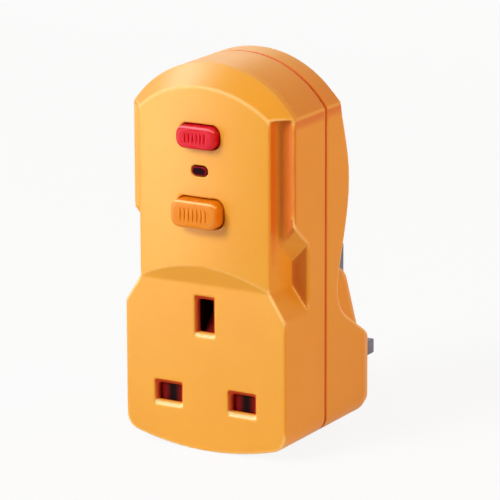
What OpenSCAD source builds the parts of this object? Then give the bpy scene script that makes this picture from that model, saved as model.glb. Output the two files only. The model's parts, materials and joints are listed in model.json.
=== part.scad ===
// Residual-current adapter plug for the three flat pin system, in millimetres.
// The origin is on the plug face, on the line of the two lower pins. +Y points into the wall, +Z up.
// Depths (d) are measured rearward from the socket face, which lies at Y = -body_d.

/* [Body] */
// Width of the body
body_w = 48; // [47:0.5:52]
// Depth from the socket face to the plug face
body_d = 49.6; // [49:0.1:51]
// Height where the side walls turn into the arch, above the line of the lower pins
spring_h = 76; // [75:0.1:77]
// Rise of the arch above there
arch_rise = 12.7; // [12:0.1:14]
// Drop of the bottom below the line of the lower pins
base_h = 14.2; // [13.5:0.1:16]
// Radius of the bowed bottom
base_r = 77; // [70:1:100]
// Radius of the two bottom corners
corner_r = 4.5; // [4:0.1:6]
// Thickness of the moulded walls
wall = 2.2; // [2:0.1:2.4]
// Depth of the seam between the covers
seam_d = 21.3; // [21:0.1:22]
// Width of the shadow groove at the seam
seam_gap = 0.8; // [0.4:0.1:1.2]
// Depth of the shadow groove at the seam
seam_cut = 0.7; // [0.4:0.1:0.9]
// Length of the tongue that locates the covers
tongue_l = 1.6; // [1:0.1:2]

/* [Front panel] */
// Width of the bowed panel
panel_w = 38.8; // [38:0.1:40]
// Rise of the panel's own arch above the same height
panel_rise = 7.6; // [7:0.1:8.5]
// How far the panel bows out in front of the socket face
panel_bow = 2; // [1.5:0.1:2.5]
// Depth of the ledge beside the panel
ledge_d = 4.8; // [4.5:0.1:5.5]
// Height of the tilted facet below the panel
facet_h = 5.1; // [4:0.1:6]
// Height of the socket face's top edge
socket_top = 31; // [30.5:0.1:32]
// Height where the socket face's shoulders meet the sides
shoulder_h = 23.8; // [23:0.1:25]

/* [Finger notches] */
// Depth of a notch at the side of the body
notch_d = 12.5; // [11.5:0.1:13]
// Height of a notch's floor at the side of the body
notch_top_out = 42; // [41:0.1:43]
// Height of a notch's floor beside the panel
notch_top_in = 36.8; // [36:0.1:38]
// Rise of the ramp from the floor up to the ledge
notch_ramp = 6; // [5:0.1:7]
// How much shallower a notch is beside the panel
notch_lean = 1; // [0.5:0.1:1.5]

/* [Rear] */
// Depth of the rear lobe at its fullest
lobe_d = 34.5; // [34:0.1:36]
// Drop of the lobe's fullest place below the arch's springing
lobe_drop = 21; // [19:0.5:23]
// Depth of the back above the lobe
lobe_top_d = 29.2; // [28.5:0.1:30]
// Rise of the lobe's upper end above the arch's springing
lobe_fade = 6; // [4:0.5:8]
// Depth of the waist above the plug block
waist_d = 28.3; // [27.8:0.1:28.5]
// Height of the waist
waist_h = 26.8; // [26.5:0.1:27.5]
// Radius of the finger scoops beside the plug head
scoop_r = 10.5; // [10:0.1:11]
// Slope of the shoulders between the scoops and the plug face
shoulder_a = 32; // [30:0.5:34]
// Width of the plug head at the line of the lower pins
head_base_w = 45; // [44:0.1:46]
// Width of the plug head at its crest
head_w = 30; // [29:0.1:31]
// Height of the plug head's crest
head_top = 30; // [29.5:0.1:31]
// Radius of the plug head's arched top
head_arch_r = 33; // [31:0.5:35]
// Radius of the plug head's top corners
head_r = 4; // [3:0.1:5]
// Rounding of the plug head's rear edges
head_edge_r = 4; // [3:0.1:4.2]
// Rounding of the block's rear edges
edge_r = 6.5; // [6:0.1:7]
// Thickness of the plug face
plug_wall = 2.5; // [2.4:0.1:3]

/* [Pins and apertures] */
// Spacing of the pins, across and up
pin_pitch = 22.2; // [22.2:0.1:22.3]
// Width of a live or neutral pin
pin_w = 6.35; // [6.2:0.05:6.5]
// Thickness of every pin
pin_t = 3.97; // [3.8:0.01:4.1]
// Length of the live and neutral pins
pin_l = 17.7; // [17:0.1:18.2]
// Height of the earth pin's section
earth_h = 7.92; // [7.7:0.01:8.1]
// Length of the earth pin
earth_l = 22.7; // [22:0.1:23.2]
// Chamfer on the pin tips
pin_chamfer = 1; // [0.5:0.1:1.4]
// Length of the insulating sleeves
sleeve_l = 9.5; // [8:0.1:10]
// Thickness of the insulating sleeves
sleeve_t = 0.5; // [0.4:0.05:0.7]
// Flange that holds each pin behind the plug face
flange_t = 1.5; // [1.2:0.1:1.8]
// Width of a live or neutral aperture
slot_w = 7; // [6.9:0.1:7.2]
// Height of a live or neutral aperture
slot_h = 4.6; // [4.5:0.1:4.9]
// Width of the earth aperture
earth_slot_w = 4.6; // [4.5:0.1:4.9]
// Height of the earth aperture
earth_slot_h = 8.8; // [8.6:0.1:9]
// Bevel at the sides of the apertures
bevel = 0.9; // [0.6:0.1:1.1]
// Bevel above and below the apertures
sill = 1.3; // [1:0.1:1.5]

/* [Buttons and lens] */
// Width of the test button
test_w = 11.4; // [10.5:0.1:12]
// Height of the test button
test_h = 5.9; // [5.4:0.1:6.2]
// Drop of the test button's middle below the arch's springing
test_drop = 5.4; // [5:0.1:5.8]
// How far the test button stands out
test_proud = 2.7; // [2.3:0.1:3]
// Travel of the test button
test_travel = 1.8; // [1.2:0.1:2]
// Width of the reset button
reset_w = 13.5; // [12.5:0.1:14]
// Height of the reset button
reset_h = 7.2; // [6.6:0.1:7.6]
// Drop of the reset button's middle below the test button's
reset_drop = 20; // [19.6:0.1:20.4]
// How far the reset button stands out
reset_proud = 3.8; // [3.5:0.1:4.2]
// Travel of the reset button
reset_travel = 3; // [2.6:0.1:3.2]
// Corner radius of the buttons
button_r = 2.3; // [1.8:0.1:2.6]
// Width of the indicator lens
lens_w = 4.3; // [4:0.1:4.7]
// Height of the indicator lens
lens_h = 2.3; // [2.1:0.1:2.5]
// Drop of the lens's middle below the test button's
lens_drop = 9.1; // [8.7:0.1:9.5]
// Rim by which buttons and lens catch behind the panel
rim = 1; // [0.8:0.1:1.1]
// Thickness of that rim
rim_t = 1.2; // [1:0.1:1.4]

/* [Mechanism] */
// Depth of the button frame's front
frame_d = 9; // [8.6:0.1:9.4]
// Thickness of the button frame
frame_t = 2; // [1.6:0.1:2.4]
// Diameter of the button stems
stem_d = 4; // [3.6:0.1:4.4]
// Depth of the circuit board's front
board_d = 24; // [23.9:0.1:24.2]
// Thickness of the circuit board
board_t = 1.6; // [1.4:0.1:1.7]
// Width of the circuit board
board_w = 34; // [33.6:0.1:35]
// Drop of the circuit board's lower edge below the reset button's middle
board_drop = 17.6; // [17.2:0.1:18]
// Rise of the circuit board's upper edge above the test button's middle
board_rise = 3.4; // [3:0.1:3.6]
// Thickness of straps and contact leaves
strap_t = 0.8; // [0.6:0.05:0.9]
// Width of the current straps
strap_w = 3; // [2.6:0.1:3.2]
// Offset of the load straps from the middle
load_x = 7.2; // [7:0.1:7.4]
// Offset of the line straps from the middle
line_x = 11.4; // [11.2:0.1:11.5]
// Diameter of the switch contacts
contact_d = 2.8; // [2.4:0.1:3]
// Height of the switch contacts
contact_t = 0.6; // [0.4:0.05:0.7]
// Thickness of the contact bridge
bridge_t = 4; // [3.6:0.1:4.2]
// Travel of the shutter
shutter_travel = 6; // [5.8:0.1:6.2]
// Thickness of the shutter
shutter_t = 1.8; // [1.6:0.1:1.9]
// Wire of the springs
wire_d = 0.5; // [0.4:0.05:0.6]

/* [Fasteners] */
// Diameter of the case screws
screw_d = 2.9; // [2.7:0.1:3.1]
// Diameter of the case screws' heads
screw_head_d = 4.8; // [4.4:0.1:5]
// Length of the case screws
screw_l = 16; // [14:0.5:16]
// Diameter of the small inner screws
small_d = 2; // [1.8:0.1:2.2]

/* [Clearances] */
// Gap beside pieces that slide
slide_gap = 0.3; // [0.25:0.05:0.35]
// Gap round screws, pins and tongues
fit_gap = 0.05; // [0.03:0.01:0.08]

/* [Hidden] */
$fn = 48;

AMBER = [0.95, 0.62, 0.20];
RED = [0.86, 0.10, 0.18];
ORANGE = [0.96, 0.56, 0.12];
DARK_RED = [0.30, 0.03, 0.05];
GLOW = [0.85, 0.45, 0.30];
BRASS = [0.80, 0.65, 0.30];
STEEL = [0.62, 0.62, 0.66];
COPPER = [0.72, 0.40, 0.22];
BLACK = [0.15, 0.15, 0.16];
CREAM = [0.88, 0.85, 0.76];
BROWN = [0.13, 0.06, 0.05];
GREEN = [0.10, 0.38, 0.22];
BLUE = [0.15, 0.30, 0.60];

// Body outline
half_w = body_w / 2;
half_panel = panel_w / 2;
pin_x = pin_pitch / 2;
test_z = spring_h - test_drop;
reset_z = test_z - reset_drop;
lens_z = test_z - lens_drop;
board_low = reset_z - board_drop;
board_top = test_z + board_rise;
crest_h = spring_h + arch_rise;
arch_r = (half_w * half_w + arch_rise * arch_rise) / (2 * arch_rise);
arch_z = crest_h - arch_r;
panel_crest_h = spring_h + panel_rise;
panel_arch_r = (half_panel * half_panel + panel_rise * panel_rise) / (2 * panel_rise);
panel_arch_z = panel_crest_h - panel_arch_r;
bow_r = (half_panel * half_panel + panel_bow * panel_bow) / (2 * panel_bow);
base_z = base_r - base_h;
corner_x = half_w - corner_r;
corner_z = base_z - sqrt(pow(base_r - corner_r, 2) - corner_x * corner_x);
corner_a = atan2(corner_z - base_z, corner_x);
lobe_h = spring_h - lobe_drop;
lobe_end = spring_h + lobe_fade;
scoop_d = waist_d + scoop_r;
scoop_turn = 90 - shoulder_a;
shoulder_d = body_d - edge_r;
slope_l = shoulder_d + edge_r * cos(scoop_turn) - scoop_d + scoop_r * cos(scoop_turn);
shoulder_z = waist_h - (scoop_r + edge_r) * sin(scoop_turn) - slope_l * tan(shoulder_a);
seam_lip = 0.5;
tongue_t = wall - seam_cut - seam_lip;

// Overshoot of cuts, overlap of joined solids, and the thinnest slice
over = 1;
lap = 0.2;
sliver = 0.01;

// Depths of the inner layers, from the socket face rearward
shutter_d = wall + slide_gap;
carrier_d = shutter_d + shutter_t + slide_gap;
carrier_back = seam_d - 2 * slide_gap;
board_back = board_d + board_t;
strap_d = board_d - strap_t;
plug_inner = body_d - plug_wall;
flange_d = plug_inner - flange_t;
rim_x = reset_w / 2 + rim;
rim_d = bow_r - panel_bow - sqrt(pow(bow_r - wall, 2) - rim_x * rim_x) + fit_gap;
rim_back = rim_d + rim_t;
frame_back = frame_d + frame_t;
bridge_back = strap_d - 2 * contact_t - strap_t - slide_gap - reset_travel;
bridge_d = bridge_back - bridge_t;
blade_gap = 6.1;
blade_d = frame_back + blade_gap;
button_ease = 0.8;
lens_r = lens_h / 2 - fit_gap;
lens_proud = 0.3;
lamp_d = 4;
lamp_flange_d = 5.4;
lamp_gap = 1;
lead_x = 1.2;
lead_d = 0.6;
window_w = 7;
window_h = 12;
window_r = 2;
window_x = 8.2;

// Screws: places as x and height, seats as depths
low_screw_in = 5.2;
low_screw_up = 0.8;
low_screw = [half_w - low_screw_in, corner_z + low_screw_up];
top_screw_in = 11;
top_screw_down = 6.6;
top_screw_x = half_w - top_screw_in;
top_screw = [top_screw_x, arch_z + sqrt(arch_r * arch_r - top_screw_x * top_screw_x) - top_screw_down];
low_sink = 5;
top_sink = 2.5;
low_seat = seam_d + low_sink;
top_seat = seam_d + top_sink;
boss_t = 1.35;
sunk_boss_t = 1.2;
boss_d = screw_d + 2 * boss_t;
sunk_boss_d = screw_head_d + 2 * sunk_boss_t;
head_t = 2;
screw_hole_d = screw_d + 2 * fit_gap;
clear = 0.4;
small_l = 5.4;
small_rim = 0.9;
small_head_d = small_d + 2 * small_rim;
small_hole_d = small_d + 2 * fit_gap;
small_head_t = 1.2;
board_screw_l = 4.2;
post_t = 1.2;
post_d = small_d + 2 * post_t;
frame_in = 6;
frame_down = 4.4;
frame_up = 3;
frame_x = half_panel - frame_in;
frame_z = [reset_z - frame_down, test_z + frame_up];
board_edge = 2.5;
board_screw_x = board_w / 2 - board_edge;
board_screw_at = [[0, board_low + board_edge], [board_screw_x, board_top - board_edge],
    [-board_screw_x, board_top - board_edge]];

// Socket insides
carrier_x = low_screw[0] - boss_d / 2 - slide_gap;
carrier_low = -4.8;
carrier_up = 6.2;
carrier_top = pin_pitch + carrier_up;
ear_in = 5.6;
ear_x = half_w - ear_in;
ear_z = 14;
ear_t = 2.4;
clip_w = 6;
flange_w = 0.8;
tail_w = 5;
clip_h = 6.8;
clip_in = 1.4;
clip_stop = 1.6;
clip_d = carrier_d + clip_in;
clip_back = carrier_back - clip_stop;
earth_clip_w = 6.4;
earth_pocket_h = 8.8;
earth_clip_in = 5.9;
earth_clip_d = carrier_d + earth_clip_in;
coil_r = 1.7;
shutter_coil_d = shutter_d + coil_r + wire_d / 2;
seat_half = 2.6;
seat_back = shutter_coil_d + seat_half;
spring_seat = 1.2;
spring_floor = -base_h + wall + spring_seat;
blade_low = -slot_h / 2 - bevel;
blade_lap = 0.7;
blade_top = slot_h / 2 + blade_lap;
stem_low = blade_top + slide_gap;
stem_half = 2;
band_h = 5;
seat_t = 2;
cam_low = 14;
cam_t = 2;
cam_lead = 1.5;
cam_back = earth_clip_d - slide_gap - flange_w;

// Residual-current transformer
core_gap = 2.9;
core_d = (carrier_back + plug_inner) / 2;
core_out = (plug_inner - carrier_back) / 2 - core_gap;
core_z = 5;
core_h = 8;
core_in = 4;
core_shelf = 3.2;
shelf_t = 1.6;
winding_t = 0.8;
winding_turn = 130;
tail_t = 1;
earth_tail_in = 5.5;
earth_tail_d = core_d + earth_tail_in;
earth_link_w = 4;
link_d = [core_d - strap_w / 2, core_d + strap_w / 2];
link_x = 1.2;
link_low = tail_t / 2;
link_up = 4;
link_mid = core_z + core_h + link_up;
link_rise = 4;
link_top = link_mid + link_rise;

// Trip solenoid, along X, and the latch beside the bridge
bridge_x = line_x + contact_d / 2 + lap;
bridge_h = 7;
coil_drop = 10.6;
yoke_h = 9;
coil_z = max(reset_z - coil_drop, carrier_top + yoke_h / 2 + slide_gap);
coil_in = 6.2;
coil_d = strap_d - coil_in;
yoke_t = 1.2;
yoke_left = 12;
yoke_right = 3.2;
yoke_x = [-yoke_left, yoke_right];
yoke_gap = 1;
yoke_back = coil_d + yoke_h / 2 + yoke_gap;
foot_left = 3.5;
foot_right = 2;
foot_x = [-foot_left, foot_right];
foot_h = 6;
bobbin_x = [yoke_x[0] + yoke_t, yoke_x[1] - yoke_t];
bobbin_d = 8.4;
spool_d = 5.4;
bobbin_t = 1;
plunger_d = 3;
plunger_in = 6;
plunger_start = yoke_x[0] + plunger_in;
plunger_end = half_panel - wall;
collar_x = 9;
collar_t = 0.8;
disc_d = 5;
neck_d = 2;
latch_x = 15.6;
latch_arm = 6;
latch_z = coil_z + latch_arm;
latch_t = 1;
latch_hub_d = 4.2;
latch_pin_d = 2;
groove_play = 0.8;
groove = latch_t + groove_play;
latch_half = 2.2;
latch_d = [coil_d - latch_half, coil_d + latch_half];
prong_t = 0.9;
prong_drop = 2.5;
prong_low = coil_z - prong_drop;
prong_gap = 1.8;
nose_half = 1.25;
nose_d = [coil_d - nose_half, coil_d + nose_half];
nose_z = [reset_z - nose_half, reset_z + nose_half];
collar_rim = 0.7;
collar_d = latch_pin_d + 2 * collar_rim;

// Parts on the board: sizes, and places from the middle and from the board's upper edge
chip_w = 6;
chip_t = 1.6;
chip_h = 4.3;
chip_x = 5;
chip_down = 8.5;
cap_d = 6.3;
cap_l = 8.5;
cap_x = -9.5;
cap_down = 7.5;
cap_pitch = 8;
absorber_d = 9;
absorber_t = 4;
absorber_x = 10;
absorber_down = 14.7;
resistor_d = 1.6;
resistor_l = 6;
wire_end = 0.6;
resistor_lift = 0.9;
resistor_d_at = board_d - resistor_lift;
resistor_at = [[-11, 2.8], [-11, 1.1], [3, 1.5]];
blade_w = 4;
blade_rise = 2.5;
blade_drop = 7;
blade_tip = test_z + blade_rise;
blade_foot = test_z - blade_drop;
foot_drop = 1.4;

// A stretch of arc as points, from angle a to angle b
function arc(x, z, r, a, b, n) = [for (i = [0 : n]) let (t = a + (b - a) * i / n)
    [x + r * cos(t), z + r * sin(t)]];

// Outline of the body seen from the front, drawn in by the given inset
function outline(inset) = let (a = acos((half_w - inset) / (arch_r - inset))) concat(
    arc(corner_x, corner_z, corner_r - inset, corner_a, 0, 6),
    arc(0, arch_z, arch_r - inset, a, 180 - a, 36),
    arc(-corner_x, corner_z, corner_r - inset, 180, 180 - corner_a, 6),
    arc(0, base_z, base_r - inset, 180 - corner_a, 360 + corner_a, 16));

// Outline of the panel, drawn in by the given inset, from the given height up
function panel_outline(inset, low) = let (a = acos((half_panel - inset) / (panel_arch_r - inset))) concat(
    [[-half_panel + inset, low], [half_panel - inset, low]],
    arc(0, panel_arch_z, panel_arch_r - inset, a, 180 - a, 28));

// Depth of the rear surface at a height above the waist
function rear_depth(z) = z > lobe_h
    ? lobe_top_d + (lobe_d - lobe_top_d) * (1 + cos(180 * min(1, (z - lobe_h) / (lobe_end - lobe_h)))) / 2
    : waist_d + (lobe_d - waist_d) * pow((1 + cos(180 * (lobe_h - z) / (lobe_h - waist_h))) / 2, 0.7);

// Side view of the rear: back, lobe, waist, scoop, shoulder and plug face, drawn in by the given inset
function rear_profile(inset) = concat(
    [[seam_d - tongue_l - over, -base_h - over], [seam_d - tongue_l - over, crest_h]],
    [for (i = [0 : 24]) let (z = crest_h - (crest_h - waist_h) * i / 24) [rear_depth(z) - inset, z]],
    arc(scoop_d, waist_h, scoop_r + inset, 188, 180 + scoop_turn, 8),
    arc(shoulder_d, shoulder_z, edge_r - inset, scoop_turn, 0, 6),
    [[body_d - inset, -base_h - over]]);

// Extrusion of a front view from depth a to depth b
module prism(a, b) {
    translate([0, b - body_d, 0]) rotate([90, 0, 0]) linear_extrude(b - a) children();
}

// Extrusion of a side view, drawn in depth and height, from x = a to x = b
module slab(a, b) {
    translate([a, -body_d, 0]) rotate([90, 0, 90]) linear_extrude(b - a) children();
}

// Box between two x, two depths and two heights
module box(x, d, z) {
    translate([x[0], d[0] - body_d, z[0]]) cube([x[1] - x[0], d[1] - d[0], z[1] - z[0]]);
}

// Round bar along Y at (x, z) between two depths
module bar(x, z, dia, d) {
    translate([x, d[1] - body_d, z]) rotate([90, 0, 0]) cylinder(d = dia, h = d[1] - d[0]);
}

// Round bar along X on the solenoid's axis between two x
module cross_bar(dia, x) {
    translate([x[0], coil_d - body_d, coil_z]) rotate([0, 90, 0]) cylinder(d = dia, h = x[1] - x[0]);
}

// Rectangle with round corners, centred
module rounded(w, h, r) {
    square([w - 2 * r, h], center = true);
    square([w, h - 2 * r], center = true);
    for (x = [-1, 1], z = [-1, 1]) translate([x * (w / 2 - r), z * (h / 2 - r)]) circle(r, $fn = 32);
}

// Both sides of a piece, at +x and mirrored at -x
module both() {
    children();
    mirror([1, 0, 0]) children();
}

// Section of an aperture, as points across and in depth: straight, then flared at the face by the given bevel
function flare(size, b) = let (inner = size / 2, outer = size / 2 + b) [
    [-inner, wall + over], [inner, wall + over], [inner, b], [outer, 0],
    [outer, -over], [-outer, -over], [-outer, 0], [-inner, b]];

// Aperture at (x, z) with its bevel, as the common part of two flared extrusions
module aperture(x, z, w, h) {
    translate([x, 0, z]) intersection() {
        translate([0, -body_d, -h]) linear_extrude(2 * h) polygon(flare(w, bevel));
        slab(-w, w) polygon([for (p = flare(h, sill)) [p[1], p[0]]]);
    }
}

// Hole through the panel for a button or the lens
module panel_hole(z, w, h, r) {
    prism(-panel_bow - over, wall + over) translate([0, z])
        rounded(w + 2 * slide_gap, h + 2 * slide_gap, r + slide_gap);
}

// The bowed panel from the given height up, drawn in and set back by the inset, with its tilted facet
module bowed_panel(inset, low, depth) {
    intersection() {
        prism(-panel_bow, depth) polygon(panel_outline(inset, low));
        translate([0, bow_r - panel_bow - body_d, 0]) cylinder(r = bow_r - inset, h = crest_h, $fn = 200);
        slab(-half_w, half_w) polygon([[inset, socket_top - wall], [inset, socket_top + inset / 2],
            [inset - panel_bow, socket_top + facet_h + inset / 2], [inset - panel_bow, crest_h],
            [depth, crest_h], [depth, socket_top - wall]]);
    }
}

// Front view of the socket block with its shoulders, drawn in by the given inset
module socket_view(inset) intersection() {
    polygon(outline(inset));
    polygon([[-half_w, -base_h], [half_w, -base_h], [half_w, shoulder_h - inset],
        [half_panel - inset, socket_top - inset / 2], [inset - half_panel, socket_top - inset / 2],
        [-half_w, shoulder_h - inset]]);
}

// Funnel-shaped finger notch at +x, between the shoulder and the ramp, grown by the given wall
module finger_notch(grow) {
    hull() {
        slab(half_panel - grow, half_panel - grow + sliver) polygon([
            [ledge_d - over, socket_top - grow], [notch_d - notch_lean + grow, socket_top - grow],
            [notch_d - notch_lean + grow, notch_top_in + grow],
            [ledge_d - over, notch_top_in + notch_ramp + over + grow]]);
        slab(half_w + grow, half_w + grow + sliver) polygon([
            [ledge_d - over, shoulder_h - grow], [notch_d + grow, shoulder_h - grow],
            [notch_d + grow, notch_top_out + grow],
            [ledge_d - over, notch_top_out + notch_ramp + over + grow]]);
    }
}

// Outer form of the front cover without its hollow
module front_form() difference() {
    union() {
        prism(ledge_d, seam_d) polygon(outline(0));
        prism(0, notch_d + wall) socket_view(0);
        bowed_panel(0, socket_top, ledge_d + over);
        hull() {
            bowed_panel(0, spring_h, over);
            prism(ledge_d, ledge_d + over) intersection() {
                polygon(outline(0));
                translate([-body_w, spring_h]) square([2 * body_w, body_w]);
            }
        }
    }
    both() finger_notch(0);
}

// Hollow of the front cover
module front_hollow() difference() {
    union() {
        prism(ledge_d + wall, seam_d + over) polygon(outline(wall));
        bowed_panel(wall, socket_top - wall, ledge_d + wall + over);
        prism(wall, seam_d) socket_view(wall);
    }
    both() finger_notch(wall);
}

module front_cover() color(AMBER) difference() {
    union() {
        difference() {
            front_form();
            front_hollow();
        }
        both() bar(low_screw[0], low_screw[1], boss_d, [wall / 2, seam_d]);
        both() bar(top_screw[0], top_screw[1], boss_d, [ledge_d + over, seam_d]);
        both() for (z = frame_z) bar(frame_x, z, post_d, [wall / 3, frame_d]);
        both() bar(ear_x, ear_z, post_d, [wall / 2, carrier_d]);
        box([-seat_half, seat_half], [wall / 2, seat_back], [wall / 2 - base_h, spring_floor]);
    }
    prism(seam_d - tongue_l - fit_gap, seam_d + over) polygon(outline(wall - tongue_t - fit_gap));
    both() aperture(pin_x, 0, slot_w, slot_h);
    aperture(0, pin_pitch, earth_slot_w, earth_slot_h);
    panel_hole(test_z, test_w, test_h, button_r);
    panel_hole(reset_z, reset_w, reset_h, button_r);
    panel_hole(lens_z, lens_w, lens_h, lens_r);
    both() bar(low_screw[0], low_screw[1], screw_hole_d, [low_seat - screw_l - over, seam_d + over]);
    both() bar(top_screw[0], top_screw[1], screw_hole_d, [top_seat - screw_l - over, seam_d + over]);
    both() for (z = frame_z) bar(frame_x, z, small_hole_d, [frame_back - small_l - clear, frame_d + over]);
    both() bar(ear_x, ear_z, small_hole_d, [carrier_d + ear_t - small_l - lap, carrier_d + over]);
}

// Convex front view run back from depth a to depth b, with its rear edges rounded by r
module rounded_back(a, b, r) {
    hull() {
        prism(a, b - r) children();
        for (t = [30, 60, 90]) prism(a, b - r + r * sin(t)) offset(delta = r * (cos(t) - 1)) children();
    }
}

// Front view of the plug head round the earth pin, drawn in by the given inset
module head_view(inset) offset(r = head_r, $fn = 32) offset(delta = -head_r - inset) intersection() {
    polygon([[-head_base_w / 2, 0], [head_base_w / 2, 0], [head_w / 2, head_top], [-head_w / 2, head_top]]);
    translate([0, head_top - head_arch_r]) circle(head_arch_r, $fn = 120);
}

// Outer form of the rear cover without its hollow
module rear_form() {
    intersection() {
        rounded_back(seam_d + seam_gap, body_d, edge_r) polygon(outline(0));
        slab(-half_w, half_w) polygon(rear_profile(0));
    }
    rounded_back(seam_d + seam_gap, body_d, head_edge_r) head_view(0);
    prism(seam_d, seam_d + seam_gap + over) polygon(outline(seam_cut));
    prism(seam_d - tongue_l, seam_d + over) polygon(outline(wall - tongue_t));
}

// Hollow of the rear cover
module rear_hollow() {
    intersection() {
        rounded_back(seam_d - tongue_l - over, plug_inner, edge_r - wall) polygon(outline(wall));
        slab(-half_w, half_w) polygon(rear_profile(wall));
    }
    prism(seam_d - tongue_l - over, seam_d + 2 * over) polygon(outline(wall));
    prism(seam_d - tongue_l - over, plug_inner) head_view(wall);
}

// Hole through the plug face for a pin of section w by h
module pin_hole(w, h) {
    box([-1, 1] * (w / 2 + fit_gap), [flange_d, body_d + over], [-1, 1] * (h / 2 + fit_gap));
}

module rear_cover() color(AMBER) difference() {
    union() {
        difference() {
            rear_form();
            rear_hollow();
        }
        both() bar(low_screw[0], low_screw[1], sunk_boss_d, [seam_d, plug_inner + lap]);
        both() bar(top_screw[0], top_screw[1], sunk_boss_d, [seam_d, rear_depth(top_screw[1]) - wall / 2]);
        for (p = board_screw_at) bar(p[0], p[1], post_d, [board_back, rear_depth(p[1]) - wall / 2]);
        box([-core_shelf, core_shelf], [core_d + core_shelf, plug_inner + over], [core_z - shelf_t, core_z]);
    }
    both() bar(low_screw[0], low_screw[1], screw_d + clear, [seam_d - over, body_d]);
    both() bar(top_screw[0], top_screw[1], screw_d + clear, [seam_d - over, body_d]);
    both() bar(low_screw[0], low_screw[1], screw_head_d + clear, [low_seat, body_d + over]);
    both() bar(top_screw[0], top_screw[1], screw_head_d + clear, [top_seat, body_d + over]);
    for (p = board_screw_at) {
        bar(p[0], p[1], small_hole_d, [board_back - over, board_d + board_screw_l + lap]);
    }
    both() translate([pin_x, 0, 0]) pin_hole(pin_w, pin_t);
    translate([0, 0, pin_pitch]) pin_hole(pin_t, earth_h);
}

// A push button: cap with eased front edges, rim behind the panel, and a stem down to the given depth
module push_button(z, w, h, proud, stem_end) {
    front = -panel_bow - proud;
    ease = button_ease;
    translate([0, 0, z]) {
        hull() {
            prism(front, front + ease) rounded(w - 2 * ease, h - 2 * ease, button_r);
            prism(front + ease / 3, front + ease) rounded(w - ease / 2, h - ease / 2, button_r);
            prism(front + ease, rim_d + rim_t / 2) rounded(w, h, button_r);
        }
        prism(rim_d, rim_back) rounded(w + 2 * rim, h + 2 * rim, button_r);
        bar(0, 0, stem_d, [rim_back - lap, stem_end]);
    }
}

module test_button() color(RED) {
    push_button(test_z, test_w, test_h, test_proud, blade_d - slide_gap - test_travel);
}

module reset_button() color(ORANGE) push_button(reset_z, reset_w, reset_h, reset_proud, bridge_d);

module indicator_lens() color(DARK_RED) translate([0, 0, lens_z]) {
    prism(-panel_bow - lens_proud, rim_d + rim_t / 2) rounded(lens_w, lens_h, lens_r);
    prism(rim_d, rim_back) rounded(lens_w + 2 * rim, lens_h + 2 * rim, lens_h / 2);
}

module indicator_lamp() color(GLOW) {
    bar(0, lens_z, lamp_d, [rim_back + lamp_gap, frame_back + lap]);
    bar(0, lens_z, lamp_flange_d, [frame_back, frame_back + rim_t]);
    both() bar(lead_x, lens_z, lead_d, [frame_back + lap, board_d]);
}

// Coil spring along +Z from the origin: mean radius r, length l, n turns of wire
module coil(r, l, n) {
    sides = 6;
    steps = 10 * n;
    points = [for (i = [0 : steps]) let (t = i / steps, a = 360 * n * t, rise = wire_d / 2 + (l - wire_d) * t)
        for (k = [0 : sides - 1]) let (b = 360 * k / sides, q = r + wire_d / 2 * cos(b))
            [q * cos(a), q * sin(a), rise + wire_d / 2 * sin(b)]];
    walls = [for (i = [0 : steps - 1], k = [0 : sides - 1])
        let (p = i * sides + k, q = i * sides + (k + 1) % sides)
        each [[p, q + sides, q], [p, p + sides, q + sides]]];
    ends = [for (k = [1 : sides - 2]) each [[0, k, k + 1], [0, k + 1, k] + steps * sides * [1, 1, 1]]];
    polyhedron(points, concat(walls, ends));
}

// Coil spring round a button's stem, between the rim and the frame
module button_coil(z) {
    translate([0, rim_back - body_d, z]) rotate([-90, 0, 0])
        coil(stem_d / 2 + slide_gap + wire_d / 2, frame_d - rim_back, 5);
}

module test_spring() color(STEEL) button_coil(test_z);

module reset_spring() color(STEEL) button_coil(reset_z);

module button_frame() color(CREAM) difference() {
    prism(frame_d, frame_back) translate([0, (frame_z[0] + frame_z[1]) / 2])
        rounded(2 * frame_x + post_d, frame_z[1] - frame_z[0] + post_d, post_d / 2 - fit_gap);
    for (z = [test_z, reset_z]) bar(0, z, stem_d + 2 * slide_gap, [frame_d - over, frame_back + over]);
    bar(0, lens_z, lamp_d + 2 * fit_gap, [frame_d - over, frame_back + over]);
    both() for (z = frame_z) bar(frame_x, z, small_d + clear, [frame_d - over, frame_back + over]);
    both() prism(frame_d - over, frame_back + over) translate([window_x, lens_z])
        rounded(window_w, window_h, window_r);
}

// Small screw whose head sits on depth d and whose point faces the front
module front_screw(x, z, d) {
    bar(x, z, small_d, [d - small_l, d + lap]);
    bar(x, z, small_head_d, [d, d + small_head_t]);
}

module frame_screws() color(STEEL) both() for (z = frame_z) front_screw(frame_x, z, frame_back);

module carrier_screws() color(STEEL) both() front_screw(ear_x, ear_z, carrier_d + ear_t);

module board_screws() color(STEEL) for (p = board_screw_at) {
    bar(p[0], p[1], small_d, [board_d - lap, board_d + board_screw_l]);
    bar(p[0], p[1], small_head_d, [board_d - small_head_t, board_d]);
}

module shutter() color(BROWN) {
    thick = [shutter_d, shutter_d + shutter_t];
    both() box([seat_half + slide_gap, pin_x + slot_w / 2 + slide_gap], thick, [blade_low, stem_low + lap]);
    box([-1, 1] * (pin_x - slot_w / 2 - bevel), thick, [stem_low, stem_low + band_h]);
    box([-seat_half, seat_half], [shutter_d, seat_back], [stem_low, stem_low + seat_t]);
    box([-stem_half, stem_half], thick, [stem_low, cam_low + lap]);
    slab(-stem_half, stem_half) polygon([[shutter_d, cam_low], [cam_back, cam_low],
        [cam_back, cam_low + cam_t + shutter_travel + cam_lead], [shutter_d, cam_low + cam_t]]);
}

module shutter_spring() color(STEEL) {
    translate([0, shutter_coil_d - body_d, spring_floor]) coil(coil_r, stem_low - spring_floor, 7);
}

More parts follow.
